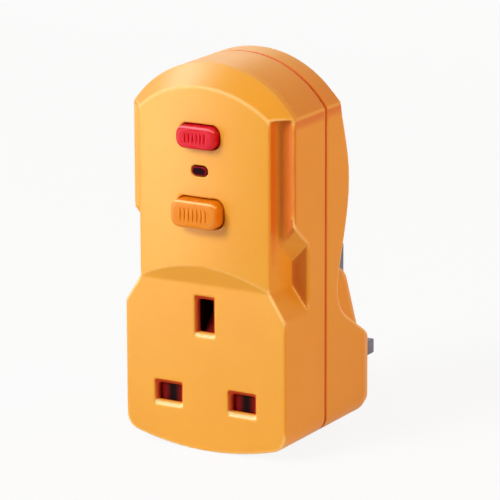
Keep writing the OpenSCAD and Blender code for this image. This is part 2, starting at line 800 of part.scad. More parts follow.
module contact_carrier() color(BROWN) difference() {
    union() {
        box([-carrier_x, carrier_x], [carrier_d, carrier_back], [carrier_low, carrier_top]);
        both() box([carrier_x - over, ear_x + post_d / 2], [carrier_d, carrier_d + ear_t],
            ear_z * [1, 1] + [-1, 1] * post_d / 2);
    }
    both() translate([pin_x, 0, 0])
        box([-1, 1] * (clip_w / 2 + slide_gap), [carrier_d - over, carrier_back + over], [-1, 1] * clip_h / 2);
    box([-1, 1] * earth_clip_w / 2, [carrier_d - over, carrier_back + over],
        pin_pitch * [1, 1] + [-1, 1] * earth_pocket_h / 2);
    box([-1, 1] * earth_clip_w / 2, [carrier_d - over, earth_clip_d - lap], [carrier_low - over, pin_pitch]);
    both() bar(ear_x, ear_z, small_d + clear, [carrier_d - over, carrier_d + ear_t + over]);
}

// Sprung clip at +x: two leaves, a back, and a tail out to the load strap
module pole_contact() {
    wide = pin_x * [1, 1] + [-1, 1] * clip_w / 2;
    leaf = [clip_h / 2 - strap_t, clip_h / 2];
    box(wide, [clip_d, clip_back], leaf);
    box(wide, [clip_d, clip_back], [-leaf[1], -leaf[0]]);
    box(wide, [clip_back - strap_t, clip_back], [-1, 1] * clip_h / 2);
    box(wide, [clip_back - strap_t, board_d], leaf);
    box([load_x - strap_w / 2, wide[1]], [carrier_back + slide_gap, board_d], leaf);
}

module live_contact() color(BRASS) pole_contact();

module neutral_contact() color(BRASS) mirror([1, 0, 0]) pole_contact();

module earth_contact() color(BRASS) {
    high = pin_pitch * [1, 1] + [-1, 1] * clip_h / 2;
    both() box([earth_clip_w / 2 - strap_t, earth_clip_w / 2], [earth_clip_d, clip_back], high);
    box([-1, 1] * earth_clip_w / 2, [clip_back - strap_t, clip_back], high);
}

// Pin of section w by h, from its flange out to its chamfered tip, with a tail inside down to the given depth
module pin(w, h, l, tail_d) {
    c = pin_chamfer;
    intersection() {
        translate([0, 0, -h / 2]) linear_extrude(h) polygon([[-w / 2, -plug_wall], [w / 2, -plug_wall],
            [w / 2, l - c], [w / 2 - c, l], [c - w / 2, l], [-w / 2, l - c]]);
        translate([-w / 2, 0, 0]) rotate([90, 0, 90]) linear_extrude(w) polygon([[-plug_wall, -h / 2],
            [l - c, -h / 2], [l, c - h / 2], [l, h / 2 - c], [l - c, h / 2], [-plug_wall, h / 2]]);
    }
    box([-1, 1] * (w / 2 + flange_w), [flange_d, plug_inner], [-1, 1] * (h / 2 + flange_w));
    box([-1, 1] * tail_w / 2, [tail_d, flange_d + lap], [-1, 1] * tail_t / 2);
}

// Room for the pin inside its sleeve
module sleeve_bore() {
    box([-1, 1] * (pin_w / 2 - sleeve_t), [body_d - over, body_d + pin_l], [-1, 1] * (pin_t / 2 - sleeve_t));
}

// Pin with its section drawn in where the sleeve goes
module sleeved_pin() difference() {
    pin(pin_w, pin_t, pin_l, link_d[0]);
    difference() {
        box([-pin_w, pin_w], [body_d, body_d + sleeve_l], [-pin_t, pin_t]);
        sleeve_bore();
    }
}

module earth_pin() color(STEEL) translate([0, 0, pin_pitch]) pin(pin_t, earth_h, earth_l, earth_tail_d);

module live_pin() color(STEEL) translate([pin_x, 0, 0]) sleeved_pin();

module neutral_pin() color(STEEL) translate([-pin_x, 0, 0]) sleeved_pin();

module pin_sleeves() color(BLACK) both() translate([pin_x, 0, 0]) difference() {
    box([-1, 1] * pin_w / 2, [body_d, body_d + sleeve_l], [-1, 1] * pin_t / 2);
    sleeve_bore();
}

module earth_link() color(BRASS) {
    box([-1, 1] * earth_link_w / 2, [clip_back, earth_tail_d], pin_pitch * [1, 1] + [-1, 1] * tail_t / 2);
}

// Switch contact on a strap at the given x
module fixed_contact(x) bar(x, reset_z, contact_d, [strap_d - contact_t, strap_d + lap]);

// Line strap at +x: from the pin's tail, up through the sensing core, round the earth link and up the board
module line_link() {
    strap = line_x * [1, 1] + [-1, 1] * strap_w / 2;
    box([link_x, pin_x + tail_w / 2], link_d, [link_low, link_low + strap_t]);
    box([link_x, link_x + strap_t], link_d, [link_low, link_mid]);
    box([link_x, strap[1]], link_d, [link_mid - strap_t, link_mid]);
    box([strap[1] - strap_t, strap[1]], link_d, [link_mid - strap_t, link_top]);
    box(strap, [strap_d, link_d[1]], [link_top - strap_t, link_top]);
    box(strap, [strap_d, board_d], [link_top - strap_t, reset_z + contact_d]);
    fixed_contact(line_x);
}

module live_line_link() color(COPPER) line_link();

module neutral_line_link() color(COPPER) mirror([1, 0, 0]) line_link();

// Load strap at +x: from the socket contact's tail up the board to the switch
module load_link() {
    box(load_x * [1, 1] + [-1, 1] * strap_w / 2, [strap_d, board_d], [clip_h / 2, reset_z + contact_d]);
    fixed_contact(load_x);
}

module live_load_link() color(COPPER) load_link();

module neutral_load_link() color(COPPER) mirror([1, 0, 0]) load_link();

// The sensing core grown by t on every side, over the given turn
module grown_ring(t, turn) {
    translate([0, core_d - body_d, 0]) rotate([0, 0, -90 - turn / 2]) rotate_extrude(angle = turn)
        translate([core_in - t, core_z - t]) square([core_out - core_in + 2 * t, core_h + 2 * t]);
}

module sensing_core() color(BLACK) grown_ring(0, 360);

module sensing_winding() color(COPPER) difference() {
    grown_ring(winding_t, winding_turn);
    grown_ring(fit_gap, 2 * winding_turn);
}

module circuit_board() color(GREEN) difference() {
    prism(board_d, board_back) translate([0, (board_low + board_top) / 2])
        rounded(board_w, board_top - board_low, board_edge / 2);
    for (p = board_screw_at) bar(p[0], p[1], small_d + clear, [board_d - over, board_back + over]);
}

module control_chip() color(BLACK) {
    low = board_top - chip_down;
    box([chip_x, chip_x + chip_w], [board_d - chip_t, board_d], [low, low + chip_h]);
}

module capacitors() color(BLUE) for (i = [0, 1]) {
    bar(cap_x, board_top - cap_down - i * cap_pitch, cap_d, [board_d - cap_l, board_d]);
}

module surge_absorber() color(BLUE) {
    bar(absorber_x, board_top - absorber_down, absorber_d, [board_d - absorber_t, board_d]);
}

module resistors() color(CREAM) for (p = resistor_at) translate([p[0], 0, board_top - p[1]]) {
    translate([0, resistor_d_at - body_d, 0]) rotate([0, 90, 0]) cylinder(d = resistor_d, h = resistor_l);
    for (x = [wire_end, resistor_l - wire_end]) bar(x, 0, wire_d, [resistor_d_at, board_d]);
}

module test_blade() color(BRASS) {
    wide = [-1, 1] * blade_w / 2;
    box(wide, [blade_d, blade_d + strap_t], [blade_foot, blade_tip]);
    box(wide, [blade_d, board_d], [blade_foot, blade_foot + strap_t]);
    box(wide, [strap_d, board_d], [blade_foot - foot_drop, blade_foot + strap_t]);
}

module contact_bridge() color(CREAM) {
    box([-bridge_x, bridge_x], [bridge_d, bridge_back], reset_z * [1, 1] + [-1, 1] * bridge_h / 2);
}

module moving_contacts() color(BRASS) both() {
    box([load_x - contact_d / 2, line_x + contact_d / 2], [bridge_back, bridge_back + strap_t],
        reset_z * [1, 1] + [-1, 1] * contact_d / 2);
    for (x = [load_x, line_x]) {
        bar(x, reset_z, contact_d - lap, [bridge_back + lap, bridge_back + strap_t + contact_t]);
    }
}

module coil_yoke() color(STEEL) difference() {
    high = coil_z * [1, 1] + [-1, 1] * yoke_h / 2;
    union() {
        box(yoke_x, [yoke_back - yoke_t, yoke_back], high);
        box([yoke_x[0], yoke_x[0] + yoke_t], [coil_d - yoke_h / 2, yoke_back], high);
        box([yoke_x[1] - yoke_t, yoke_x[1]], [coil_d - yoke_h / 2, yoke_back], high);
        box(foot_x, [yoke_back - yoke_t, board_d], [high[1] - foot_h, high[1]]);
    }
    cross_bar(plunger_d + clear, [yoke_x[1] - yoke_t - over, yoke_x[1] + over]);
}

module coil_bobbin() color(CREAM) difference() {
    union() {
        cross_bar(spool_d, bobbin_x);
        cross_bar(bobbin_d, [bobbin_x[0], bobbin_x[0] + bobbin_t]);
        cross_bar(bobbin_d, [bobbin_x[1] - bobbin_t, bobbin_x[1]]);
    }
    cross_bar(plunger_d + clear, [bobbin_x[0] - over, bobbin_x[1] + over]);
}

module coil_winding() color(COPPER) difference() {
    cross_bar(bobbin_d - clear, [bobbin_x[0] + bobbin_t, bobbin_x[1] - bobbin_t]);
    cross_bar(spool_d, bobbin_x);
}

module trip_plunger() color(STEEL) {
    notch_x = latch_x - groove / 2;
    cross_bar(plunger_d, [plunger_start, notch_x]);
    cross_bar(disc_d, [collar_x, collar_x + collar_t]);
    cross_bar(disc_d, [notch_x - collar_t, notch_x]);
    cross_bar(neck_d, [notch_x - collar_t, plunger_end]);
    cross_bar(disc_d, [notch_x + groove, plunger_end]);
}

module plunger_spring() color(STEEL) {
    translate([yoke_x[1], coil_d - body_d, coil_z]) rotate([0, 90, 0])
        coil(plunger_d / 2 + slide_gap + wire_d / 2, collar_x - yoke_x[1], 4);
}

module latch_lever() color(CREAM) difference() {
    arm = latch_x * [1, 1] + [-1, 1] * latch_t / 2;
    union() {
        for (d = [latch_d[0], latch_d[1] - prong_t]) box(arm, [d, d + prong_t], [prong_low, latch_z]);
        box(arm, latch_d, [coil_z + prong_gap, latch_z]);
        bar(latch_x, latch_z, latch_hub_d, latch_d);
        box(arm, nose_d, [latch_z, nose_z[1]]);
        box([bridge_x + clear, latch_x], nose_d, nose_z);
    }
    bar(latch_x, latch_z, latch_pin_d + 2 * fit_gap, [latch_d[0] - over, latch_d[1] + over]);
}

module latch_pin() color(STEEL) {
    bar(latch_x, latch_z, latch_pin_d, [latch_d[0] - over, board_d]);
    bar(latch_x, latch_z, collar_d, [latch_d[0] - over, latch_d[0] - slide_gap]);
    bar(latch_x, latch_z, collar_d, [latch_d[1] + slide_gap, board_d]);
}

module case_screws() color(STEEL) both() for (s = [[low_screw, low_seat], [top_screw, top_seat]]) {
    bar(s[0][0], s[0][1], screw_d, [s[1] - screw_l, s[1] + lap]);
    bar(s[0][0], s[0][1], screw_head_d, [s[1], s[1] + head_t]);
}

front_cover();
rear_cover();
test_button();
reset_button();
indicator_lens();
indicator_lamp();
test_spring();
reset_spring();
button_frame();
frame_screws();
shutter();
shutter_spring();
contact_carrier();
carrier_screws();
live_contact();
neutral_contact();
earth_contact();
earth_pin();
live_pin();
neutral_pin();
pin_sleeves();
earth_link();
live_line_link();
neutral_line_link();
live_load_link();
neutral_load_link();
sensing_core();
sensing_winding();
circuit_board();
board_screws();
control_chip();
capacitors();
surge_absorber();
resistors();
test_blade();
contact_bridge();
moving_contacts();
coil_yoke();
coil_bobbin();
coil_winding();
trip_plunger();
plunger_spring();
latch_lever();
latch_pin();
case_screws();
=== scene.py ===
import json
import math

import bmesh
import bpy
import numpy as np
from mathutils import Matrix, Vector


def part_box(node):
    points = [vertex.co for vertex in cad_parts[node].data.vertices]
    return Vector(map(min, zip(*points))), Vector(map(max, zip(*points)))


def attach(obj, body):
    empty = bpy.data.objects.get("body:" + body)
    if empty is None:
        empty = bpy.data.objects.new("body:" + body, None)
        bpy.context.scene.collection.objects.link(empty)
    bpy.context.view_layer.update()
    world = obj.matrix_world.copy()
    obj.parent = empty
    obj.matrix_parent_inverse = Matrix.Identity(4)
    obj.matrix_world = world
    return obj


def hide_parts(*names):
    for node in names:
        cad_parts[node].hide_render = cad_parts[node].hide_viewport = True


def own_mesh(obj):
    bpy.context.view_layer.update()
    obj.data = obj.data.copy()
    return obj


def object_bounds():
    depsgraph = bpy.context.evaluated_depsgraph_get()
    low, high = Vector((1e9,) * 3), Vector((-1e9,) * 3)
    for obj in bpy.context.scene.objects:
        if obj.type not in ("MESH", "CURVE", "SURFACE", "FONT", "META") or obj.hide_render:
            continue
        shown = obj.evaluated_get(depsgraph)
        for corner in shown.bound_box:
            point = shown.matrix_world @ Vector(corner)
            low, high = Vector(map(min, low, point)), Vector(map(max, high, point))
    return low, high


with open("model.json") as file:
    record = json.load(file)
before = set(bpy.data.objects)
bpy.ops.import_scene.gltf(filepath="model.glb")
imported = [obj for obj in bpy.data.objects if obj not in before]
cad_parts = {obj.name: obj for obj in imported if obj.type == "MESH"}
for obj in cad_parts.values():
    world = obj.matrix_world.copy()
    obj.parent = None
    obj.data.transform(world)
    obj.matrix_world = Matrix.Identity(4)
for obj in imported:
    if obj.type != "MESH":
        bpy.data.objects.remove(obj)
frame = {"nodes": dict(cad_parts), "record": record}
cad_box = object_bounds()
nodes = frame["nodes"]
record = frame["record"]


# Rear cover: the back shell, moulded in amber thermoplastic with the plug block in one piece.
# Its parting line is a shadow groove, and four screws from the back hold it to the front cover.
# A mould leaves a small radius on every edge, so the skin is remeshed and eased edge by edge.

def put(name, data):
    """A new object in the scene, at the origin."""
    thing = bpy.data.objects.new(name, data)
    bpy.context.scene.collection.objects.link(thing)
    return thing


same_point = 1e-6
mm_per_m = 1000


def copy_of(node, name, flat_angle=0):
    """A copy of a CAD node, its loose triangles joined, and those within flat_angle made one face."""
    bm = bmesh.new()
    bm.from_mesh(nodes[node].data)
    bmesh.ops.remove_doubles(bm, verts=bm.verts, dist=same_point)
    if flat_angle:
        bmesh.ops.dissolve_limit(bm, angle_limit=flat_angle, verts=bm.verts, edges=bm.edges)
    mesh = bpy.data.meshes.new(name)
    bm.to_mesh(mesh)
    bm.free()
    return put(name, mesh)


def settle(piece):
    """Turns a piece's modifiers into its plain mesh."""
    built = piece.evaluated_get(bpy.context.evaluated_depsgraph_get())
    piece.data = bpy.data.meshes.new_from_object(built)
    piece.modifiers.clear()


def net_of(mesh):
    """A mesh's points, the two ends of each of its edges, and how many neighbours each point has."""
    size = len(mesh.vertices)
    points = np.empty(size * 3)
    mesh.vertices.foreach_get("co", points)
    ends = np.empty(len(mesh.edges) * 2, np.int64)
    mesh.edges.foreach_get("vertices", ends)
    a, b = ends.reshape(-1, 2).T
    neighbours = np.bincount(a, minlength=size) + np.bincount(b, minlength=size)
    return points.reshape(-1, 3), a, b, np.maximum(neighbours, 1)


def around(values, a, b):
    """What the neighbours of each point add up to."""
    size = len(values)
    return np.bincount(a, values[b], size) + np.bincount(b, values[a], size)


def skin_of(node, name, voxel, rounds, faces, shade=None):
    """One closed skin over a CAD node, its edges eased by as many rounds as rounds(points) asks for."""
    piece = copy_of(node, name)
    remesh = piece.modifiers.new("skin", "REMESH")
    remesh.mode = "VOXEL"
    remesh.voxel_size = voxel
    settle(piece)
    points, a, b, neighbours = net_of(piece.data)
    wanted = rounds(points * mm_per_m)
    for step in range(int(wanted.max())):
        mean = np.stack([around(points[:, k], a, b) for k in range(3)], 1) / neighbours[:, None]
        share = np.clip(wanted - step, 0, 1) * 0.5
        points += share[:, None] * (mean - points)
    piece.data.vertices.foreach_set("co", points.ravel())
    piece.data.update()
    thin = piece.modifiers.new("thin", "DECIMATE")
    thin.ratio = min(1, faces / (2 * len(piece.data.polygons)))
    settle(piece)
    piece.data.shade_smooth()
    mark_edges(piece.data, rounds, shade)
    return piece


full_tone_radius = 0.0015
palest_ridge_highlight = 0.36
crisp_rounds = 3


def mark_edges(mesh, rounds, shade):
    """Stores how tightly a skin turns at each point: plus on an eased ridge, minus in a crease or a gap.
    Plus gives a painted highlight and minus painted shade, and shade sets painted tones of its own.
    """
    points, a, b, neighbours = net_of(mesh)
    size = len(points)
    normals = np.empty(size * 3)
    mesh.vertices.foreach_get("normal", normals)
    normals = normals.reshape(-1, 3)
    way = points[b] - points[a]
    fall = np.bincount(a, (way * normals[a]).sum(1), size) - np.bincount(b, (way * normals[b]).sum(1), size)
    span = (way ** 2).sum(1)
    turn = -fall / np.maximum(np.bincount(a, span, size) + np.bincount(b, span, size), 1e-12)
    for step in range(3):
        turn = 0.5 * turn + 0.5 * around(turn, a, b) / neighbours
    edge = np.clip(turn * full_tone_radius, -1, palest_ridge_highlight)
    edge[(rounds(points * mm_per_m) <= crisp_rounds) & (edge > 0)] = 0
    if shade:
        edge = shade(points * mm_per_m, edge)
    mesh.attributes.new("edge", "FLOAT", "POINT").data.foreach_set("value", edge)


def srgb(red, green, blue):
    """A colour read off as 0 to 255, for a shader."""
    parts = [c / 255 for c in (red, green, blue)]
    return [c / 12.92 if c <= 0.04045 else ((c + 0.055) / 1.055) ** 2.4 for c in parts] + [1]


def add(tree, kind, sockets=None, **settings):
    """A node with its settings, and its sockets set to values or joined to the outputs of other nodes."""
    node = tree.nodes.new(kind)
    for label, value in settings.items():
        setattr(node, label, value)
    for socket, value in (sockets or {}).items():
        if isinstance(value, bpy.types.NodeSocket):
            tree.links.new(value, node.inputs[socket])
        else:
            node.inputs[socket].default_value = value
    return node


def tree_of(name, kind, inputs, outputs):
    """An empty node tree with named sockets, and the outputs of its input node."""
    tree = bpy.data.node_groups.new(name, kind)
    for side, sockets in (("INPUT", inputs), ("OUTPUT", outputs)):
        for label, value_kind in sockets.items():
            tree.interface.new_socket(label, in_out=side, socket_type="NodeSocket" + value_kind)
    return tree, add(tree, "NodeGroupInput").outputs


def maths(tree, operation, *values):
    """The output of a Math node, from values or from the outputs of other nodes."""
    return add(tree, "ShaderNodeMath", dict(enumerate(values)), operation=operation).outputs["Value"]


def ramp(tree, value, start, full, most=1.0, **settings):
    """The output of a Map Range node that goes from 0 at start to the most at full."""
    limits = {"Value": value, "From Min": start, "From Max": full, "To Max": most}
    return add(tree, "ShaderNodeMapRange", limits, **settings).outputs["Result"]


def mixed(tree, share, first, second):
    """A colour between two others."""
    colours = {"Factor": share, "A": first, "B": second}
    return add(tree, "ShaderNodeMix", colours, data_type="RGBA").outputs["Result"]


# Spark-eroded mould grain: a fine pebble and slow drifts of tone as in coloured granulate. It also
# paints a highlight, paler, on ridges and paints shade, deeper and redder, in creases and gaps.
finish_outputs = {"Colour": "Color", "Roughness": "Float", "Height": "Float"}
grain_and_painted_edges, given = tree_of("mould_grain_and_painted_edges", "ShaderNodeTree", {
    "Colour": "Color", "Deep": "Color", "Ridge Highlight": "Color", "Crease Shade": "Color",
    "Grain": "Float", "Gloss": "Float", "Spread": "Float"}, finish_outputs)
where = add(grain_and_painted_edges, "ShaderNodeTexCoord").outputs["Object"]
drift = add(grain_and_painted_edges, "ShaderNodeTexNoise", {"Vector": where, "Scale": 45, "Detail": 3})
pebble = add(grain_and_painted_edges, "ShaderNodeTexNoise", {"Vector": where, "Scale": given["Grain"], "Detail": 2})
rub = add(grain_and_painted_edges, "ShaderNodeTexNoise", {"Vector": where, "Scale": 160, "Detail": 4})
turned = add(grain_and_painted_edges, "ShaderNodeAttribute", attribute_name="edge").outputs["Fac"]
drifted = ramp(grain_and_painted_edges, drift.outputs["Fac"], start=0.35, full=0.75, most=0.35)
tone = mixed(grain_and_painted_edges, drifted, given["Colour"], given["Deep"])
# Painted highlight: the ridge colour, on convex edges.
tone = mixed(grain_and_painted_edges, ramp(grain_and_painted_edges, turned, start=0.05, full=0.64), tone, given["Ridge Highlight"])
# Painted shade: the crease colour, in creases, gaps and hollows.
tone = mixed(grain_and_painted_edges, ramp(grain_and_painted_edges, turned, start=-0.08, full=-1.0, most=0.95), tone, given["Crease Shade"])
add(grain_and_painted_edges, "NodeGroupOutput", {
    "Colour": tone, "Height": pebble.outputs["Fac"],
    "Roughness": maths(grain_and_painted_edges, "MULTIPLY_ADD", rub.outputs["Fac"], given["Spread"], given["Gloss"])})


def finish_of(name, group, values, bump, bump_depth):
    """A material whose colour, roughness and relief come from a group, and its surface's sockets."""
    material = bpy.data.materials.new(name)
    material.use_nodes = True
    tree = material.node_tree
    skin = add(tree, "ShaderNodeGroup", values, node_tree=group).outputs
    relief = add(tree, "ShaderNodeBump", {
        "Strength": bump, "Distance": bump_depth, "Height": skin["Height"]}).outputs["Normal"]
    surface = tree.nodes["Principled BSDF"].inputs
    tree.links.new(skin["Colour"], surface["Base Color"])
    tree.links.new(skin["Roughness"], surface["Roughness"])
    tree.links.new(relief, surface["Normal"])
    return material, surface


light_reach = (0.0016, 0.0006, 0.0002)


def plastic(name, colour, deep, ridge_highlight=None, crease_shade=None, pebbles=2600, gloss=0.36, spread=0.08, bump=0.06,
            scatter=0.0, shine=0.3):
    """A moulded plastic of the given colour, deeper where the tone drifts, with its own grain and gloss.
    Its ridge colour is a painted highlight, and its crease colour is painted shade.
    """
    material, surface = finish_of(name, grain_and_painted_edges, {
        "Colour": srgb(*colour), "Deep": srgb(*deep), "Ridge Highlight": srgb(*(ridge_highlight or colour)),
        "Crease Shade": srgb(*(crease_shade or deep)), "Grain": pebbles, "Gloss": gloss, "Spread": spread},
        bump, bump_depth=0.0002)
    for socket, value in (("IOR", 1.5), ("Specular IOR Level", shine), ("Subsurface Weight", scatter),
                          ("Subsurface Radius", light_reach), ("Subsurface Scale", 1.0)):
        surface[socket].default_value = value
    return material


def dress(piece, material):
    """Gives a piece one material all over."""
    piece.data.materials.clear()
    piece.data.materials.append(material)


def fit(piece, body, stands_for=None):
    """Puts a finished piece on its body and hides the CAD node that it stands for."""
    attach(piece, body)
    if stands_for:
        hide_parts(stands_for)


# Places on the skins are in millimetres, and depths are measured rearward from the socket face.
mounts = {mount["name"]: [mm_per_m * part for part in mount["pos_m"]] for mount in record["mounts"]}
socket_y = mounts["socket_face"][1]
pole_x = mounts["live_pin"][0]
earth_z = mounts["earth_pin"][2]
arch_foot_z = 76.0
# Painted highlight and painted shade at the corner where the arch meets each side.
arch_edge_side, arch_edge_d = 22.4, 6
arch_edge_drops = (-0.5, -0.2, 0.25, 0.7, 1.9, 3.4)
arch_edge_tones = (-0.26, 0.2, 0.2, -0.55, -0.5, 0)
flank_d, flank_sides, flank_tones = 7, (7, 20), (-0.08, -0.26)
# Painted shade in the groove at the parting line.
groove_shade = -0.8
rear_groove_end_d, rear_lip_d = 22.24, 23
pin_roots = ((pole_x, 0, 5, 4), (0, earth_z, 4, 6))
pin_root_d = 46
screw_wells = ((18.8, -6.23), (13, 79))
well_radius = 3.6


def placed(points):
    """Distance from the middle, depth and height of points."""
    return np.abs(points[:, 0]), points[:, 1] - socket_y, points[:, 2]


def within(values, low, high):
    """Where values lie between two limits."""
    return (values > low) & (values < high)


def over(side, z, spots):
    """Where points lie over one of some upright rectangles: centre, height, half-width and half-height."""
    found = np.zeros(len(z), bool)
    for centre, height, half_w, half_h in spots:
        found |= (np.abs(side - centre) < half_w) & (np.abs(z - height) < half_h)
    return found


def rear_rounds(points):
    """Rounds of easing on the rear cover: few at the groove, at the pins and in the screws' wells."""
    side, depth, z = placed(points)
    rounds = np.full(len(points), 7.0)
    rounds[depth < rear_lip_d] = 2
    rounds[over(side, z, pin_roots) & (depth > pin_root_d)] = 2
    for well_x, well_z in screw_wells:
        rounds[np.hypot(side - well_x, z - well_z) < well_radius] = 3
    return rounds


def shade_hood(points, edge):
    """A painted highlight where the arch meets a side, with painted shade in a band below it and on the
    flank above.
    """
    side, depth, z = placed(points)
    below = arch_foot_z - z
    flank = (below < 0) & (depth > flank_d)
    edge[flank] = np.minimum(edge[flank], np.interp(side[flank], flank_sides, flank_tones))
    near_edge = within(below, arch_edge_drops[0], arch_edge_drops[-1])
    band = near_edge & (side > arch_edge_side) & (depth > arch_edge_d)
    edge[band] = np.interp(below[band], arch_edge_drops, arch_edge_tones)


def rear_shade(points, edge):
    """Painted highlight and shade at the hood's corner, and painted shade, deep, in the groove at the
    parting line.
    """
    shade_hood(points, edge)
    edge[placed(points)[1] < rear_groove_end_d] = groove_shade
    return edge


shell_voxel = 0.00028
# The amber's ridge colour is a painted highlight, and its crease colour is painted shade, deep red.
amber = plastic("amber_shell", (232, 163, 51), (227, 149, 39), ridge_highlight=(255, 222, 154), crease_shade=(204, 58, 16),
                gloss=0.4, scatter=0.06, shine=0.24)
rear_cover = skin_of("rear_cover", "rear_cover_skin", shell_voxel, rear_rounds, faces=170000,
                     shade=rear_shade)
dress(rear_cover, amber)
fit(rear_cover, "case", "rear_cover")


# Plug pins: solid brass with a nickel plate, chamfered at the tip and drawn along their length.
# Each is clamped by its flange behind the plug face. Live and neutral carry black sleeves.

metal, given = tree_of("drawn_metal", "ShaderNodeTree", {
    "Colour": "Color", "Dull": "Color", "Roughness": "Float", "Lines": "Vector"}, finish_outputs)
where = add(metal, "ShaderNodeTexCoord").outputs["Object"]
along = add(metal, "ShaderNodeVectorMath", {0: where, 1: given["Lines"]}, operation="MULTIPLY")
lines = add(metal, "ShaderNodeTexNoise", {"Vector": along.outputs["Vector"], "Scale": 1, "Detail": 3})
cloud = add(metal, "ShaderNodeTexNoise", {"Vector": where, "Scale": 210, "Detail": 4})
haze = ramp(metal, cloud.outputs["Fac"], start=0.4, full=0.7)
add(metal, "NodeGroupOutput", {
    "Colour": mixed(metal, haze, given["Colour"], given["Dull"]), "Height": lines.outputs["Fac"],
    "Roughness": maths(metal, "MULTIPLY_ADD", lines.outputs["Fac"], 0.18, given["Roughness"])})


def metallic(name, colour, dull, roughness=0.28, lines=(2500, 60, 2500)):
    """A drawn or rolled metal, with its lines along the axis of the smallest number."""
    material, surface = finish_of(name, metal, {
        "Colour": srgb(*colour), "Dull": srgb(*dull), "Roughness": roughness, "Lines": lines},
        bump=0.08, bump_depth=0.0001)
    surface["Metallic"].default_value = 1
    return material


def edged(node, name, width):
    """A copy of a CAD node in one skin, with a fine bevel on its sharp edges."""
    piece = copy_of(node, name, flat_angle=math.radians(1))
    bevel = piece.modifiers.new("edge", "BEVEL")
    bevel.width = width
    bevel.segments = 2
    bevel.limit_method = "ANGLE"
    bevel.angle_limit = math.radians(30)
    settle(piece)
    piece.data.shade_smooth()
    piece.data.set_sharp_from_angle(angle=math.radians(35))
    return piece


nickel = metallic("nickel_plate", (120, 112, 122), (96, 89, 98), roughness=0.32)
for pin in ("earth_pin", "live_pin", "neutral_pin"):
    plated = edged(pin, pin + "_plated", width=0.00022)
    dress(plated, nickel)
    fit(plated, "case", pin)
sleeves = edged("pin_sleeves", "pin_sleeves_moulded", width=0.00012)
dress(sleeves, plastic("sleeve_black", (38, 37, 40), (26, 25, 28), gloss=0.5))
fit(sleeves, "case", "pin_sleeves")


# Inner works: stamped brass and copper, cream mouldings, a coated ferrite core and a laminate board.
# They sit on posts and shelves of the covers, and show only through the socket apertures.

finishes = {
    "brass": metallic("stamped_brass", (214, 178, 92), (170, 132, 60), lines=(900, 120, 900)),
    "copper": metallic("bare_copper", (206, 126, 82), (150, 84, 52), lines=(900, 900, 90)),
    "steel": metallic("zinc_steel", (178, 180, 188), (130, 132, 140), roughness=0.34),
    "socket_plastic": plastic("socket_brown", (48, 12, 8), (34, 8, 6), gloss=0.6, shine=0.03),
    "inner_plastic": plastic("cream_moulding", (226, 218, 196), (206, 196, 170), gloss=0.45),
    "core": plastic("coated_ferrite", (44, 44, 47), (30, 30, 32), pebbles=1400, gloss=0.6, bump=0.2),
    "board": plastic("green_laminate", (34, 104, 62), (24, 78, 46), pebbles=900, gloss=0.3, bump=0.1),
    "chip": plastic("chip_black", (34, 34, 36), (24, 24, 26), gloss=0.55),
    "components": plastic("dipped_blue", (52, 86, 158), (36, 62, 122), gloss=0.3),
    "resistors": plastic("resistor_lacquer", (218, 200, 160), (190, 168, 124), gloss=0.25),
    "lamp": plastic("lamp_moulding", (228, 140, 104), (210, 112, 80), gloss=0.15),
}
slot_of = {part["node"]: part["material_slot"] for part in record["subparts"]}
for node, thing in nodes.items():
    if slot_of[node] in finishes:
        dress(thing, finishes[slot_of[node]])

# The shutter: a painted glow, red, towards the sides of each aperture, standing for light through
# the amber cover, and painted shade, near black, along the middle of the live and neutral apertures.
shutter_painted_glow = finishes["socket_plastic"].copy()
shutter_painted_glow.name = "shutter_painted_glow"
tree = shutter_painted_glow.node_tree
where = add(tree, "ShaderNodeTexCoord").outputs["Object"]
across = add(tree, "ShaderNodeSeparateXYZ", {"Vector": where}).outputs["X"]
from_pole = maths(tree, "SUBTRACT", maths(tree, "ABSOLUTE", across), pole_x / mm_per_m)
glow = ramp(tree, maths(tree, "ABSOLUTE", from_pole), start=0.0004, full=0.003,
            interpolation_type="SMOOTHSTEP")
painted_glow_colour = mixed(tree, glow, srgb(20, 8, 8), srgb(138, 24, 22))
tree.links.new(painted_glow_colour, tree.nodes["Principled BSDF"].inputs["Base Color"])
dress(nodes["shutter"], shutter_painted_glow)


# Springs: round spring-steel wire, wound cold, one behind each button, one under the shutter
# and one on the trip plunger. Each bears on a fixed seat.

def end_tree(tree, geometry, finish, smooth=True):
    """Ends a Geometry Nodes tree with real copies in their material."""
    if smooth:
        geometry = add(tree, "GeometryNodeSetShadeSmooth", {"Geometry": geometry}).outputs["Geometry"]
    real = add(tree, "GeometryNodeRealizeInstances", {"Geometry": geometry}).outputs["Geometry"]
    paint = add(tree, "GeometryNodeSetMaterial", {"Geometry": real, "Material": finish})
    add(tree, "NodeGroupOutput", {"Geometry": paint.outputs["Geometry"]})
    tree.is_modifier = True


def grown(tree, name, values, start=None):
    """A plain mesh piece from a Geometry Nodes tree, with its inputs set by identifier."""
    piece = put(name, start or bpy.data.meshes.new(name))
    growth = piece.modifiers.new("growth", "NODES")
    growth.node_group = tree
    for socket in tree.interface.items_tree:
        if socket.name in values:
            growth[socket.identifier] = values[socket.name]
    settle(piece)
    return piece


winding, given = tree_of("coil_spring", "GeometryNodeTree", {
    "Radius": "Float", "Length": "Float", "Turns": "Float", "Wire": "Float",
    "Place": "Vector", "Turn": "Rotation", "Finish": "Material"}, {"Geometry": "Geometry"})
helix = add(winding, "GeometryNodeCurveSpiral", {
    "Resolution": 28, "Rotations": given["Turns"], "Height": given["Length"],
    "Start Radius": given["Radius"], "End Radius": given["Radius"]})
wire = add(winding, "GeometryNodeCurvePrimitiveCircle", {"Resolution": 10, "Radius": given["Wire"]})
tube = add(winding, "GeometryNodeCurveToMesh", {
    "Curve": helix.outputs["Curve"], "Profile Curve": wire.outputs["Curve"], "Fill Caps": True})
seated = add(winding, "GeometryNodeTransform", {
    "Geometry": tube.outputs["Mesh"], "Translation": given["Place"], "Rotation": given["Turn"]})
end_tree(winding, seated.outputs["Geometry"], given["Finish"])

